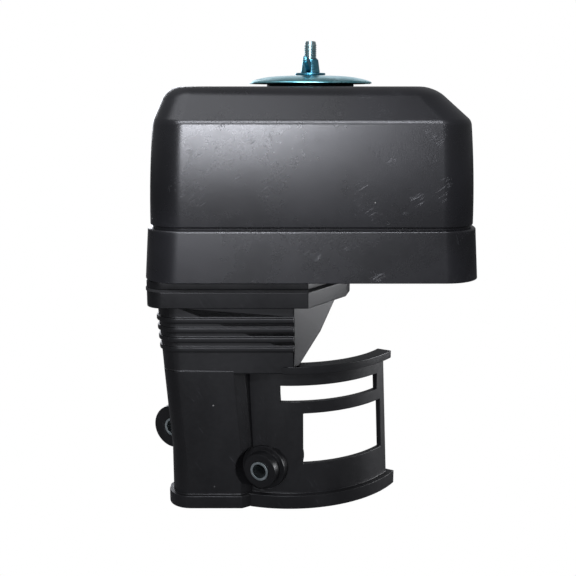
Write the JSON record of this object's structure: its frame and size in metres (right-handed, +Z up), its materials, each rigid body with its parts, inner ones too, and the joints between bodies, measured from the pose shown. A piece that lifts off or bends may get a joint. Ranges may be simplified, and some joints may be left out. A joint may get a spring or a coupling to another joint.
{
  "type": "air filter housing",
  "caption": "Engine air cleaner: domed cover clamped by a disc and wing nut over a dual element, on a tray and a ribbed intake elbow with a slotted lever guard.",
  "frame": {"origin": "below the cover stud's axis, in the plane of the elbow's bottom face", "axes": "+X right of the front, +Y away from the front, +Z up along the cover stud"},
  "size_m": [0.1524, 0.114, 0.2174],
  "materials": {
    "cover_plastic": "satin black moulded, fine grain",
    "tray_plastic": "satin black moulded",
    "elbow_plastic": "satin black moulded",
    "rubber": "dull black",
    "blue_zinc": "blue passivated zinc plate",
    "zinc_steel": "bright zinc plate",
    "screen_steel": "perforated sheet",
    "end_cap_rubber": "cast polyurethane",
    "filter_paper": "pleated resin paper",
    "foam": "open-cell foam",
    "insert_brass": "turned",
    "gasket_fibre": "pressed fibre sheet"
  },
  "bodies": {
    "root": {"cover_stud": "zinc_steel", "stud_lock_nut": "zinc_steel", "cover_seal": "rubber", "base_tray": "tray_plastic", "tray_gasket": "rubber", "tray_screws": "zinc_steel", "threaded_inserts": "insert_brass", "elbow": "elbow_plastic", "left_collar": "zinc_steel", "right_collar": "zinc_steel", "outlet_gasket": "gasket_fibre", "breather_grommet": "rubber", "guard": "elbow_plastic"},
    "cover": {"cover": "cover_plastic", "cover_grommet": "rubber"},
    "clamp_disc": {"clamp_disc": "blue_zinc"},
    "wing_nut": {"wing_nut": "blue_zinc"},
    "element": {"element_top_cap": "end_cap_rubber", "element_bottom_cap": "end_cap_rubber", "pleated_paper": "filter_paper", "inner_screen": "screen_steel"},
    "element_washer": {"element_washer": "zinc_steel"},
    "element_nut": {"element_nut": "zinc_steel"},
    "foam_sleeve": {"foam_sleeve": "foam"}
  },
  "joints": [
    {"name": "cover_lift", "type": "slide", "parent": "root", "child": "cover", "axis": [0, 0, 1], "range_m": [0, 0.16]},
    {"name": "disc_rise", "type": "slide", "parent": "cover", "child": "clamp_disc", "axis": [0, 0, 1], "range_m": [0, 0.0151]},
    {"name": "wing_nut_turn", "type": "hinge", "parent": "clamp_disc", "child": "wing_nut", "pos_m": [0, 0, 0.2], "axis": [0, 0, 1], "range_deg": [0, 5400]},
    {"name": "foam_lift", "type": "slide", "parent": "root", "child": "foam_sleeve", "axis": [0, 0, 1], "range_m": [0, 0.0961]},
    {"name": "element_lift", "type": "slide", "parent": "root", "child": "element", "axis": [0, 0, 1], "range_m": [0, 0.0353]},
    {"name": "washer_rise", "type": "slide", "parent": "element", "child": "element_washer", "axis": [0, 0, 1], "range_m": [0, 0.0051]},
    {"name": "element_nut_turn", "type": "hinge", "parent": "element_washer", "child": "element_nut", "pos_m": [0, 0, 0.178], "axis": [0, 0, 1], "range_deg": [0, 1800]}
  ],
  "couplings": [
    {"joint": "disc_rise", "follows": "wing_nut_turn", "m_per_rad": 0.00015915},
    {"joint": "foam_lift", "follows": "cover_lift", "ratio": 0.6},
    {"joint": "element_lift", "follows": "cover_lift", "ratio": 0.22},
    {"joint": "washer_rise", "follows": "element_nut_turn", "m_per_rad": 0.00015915}
  ]
}
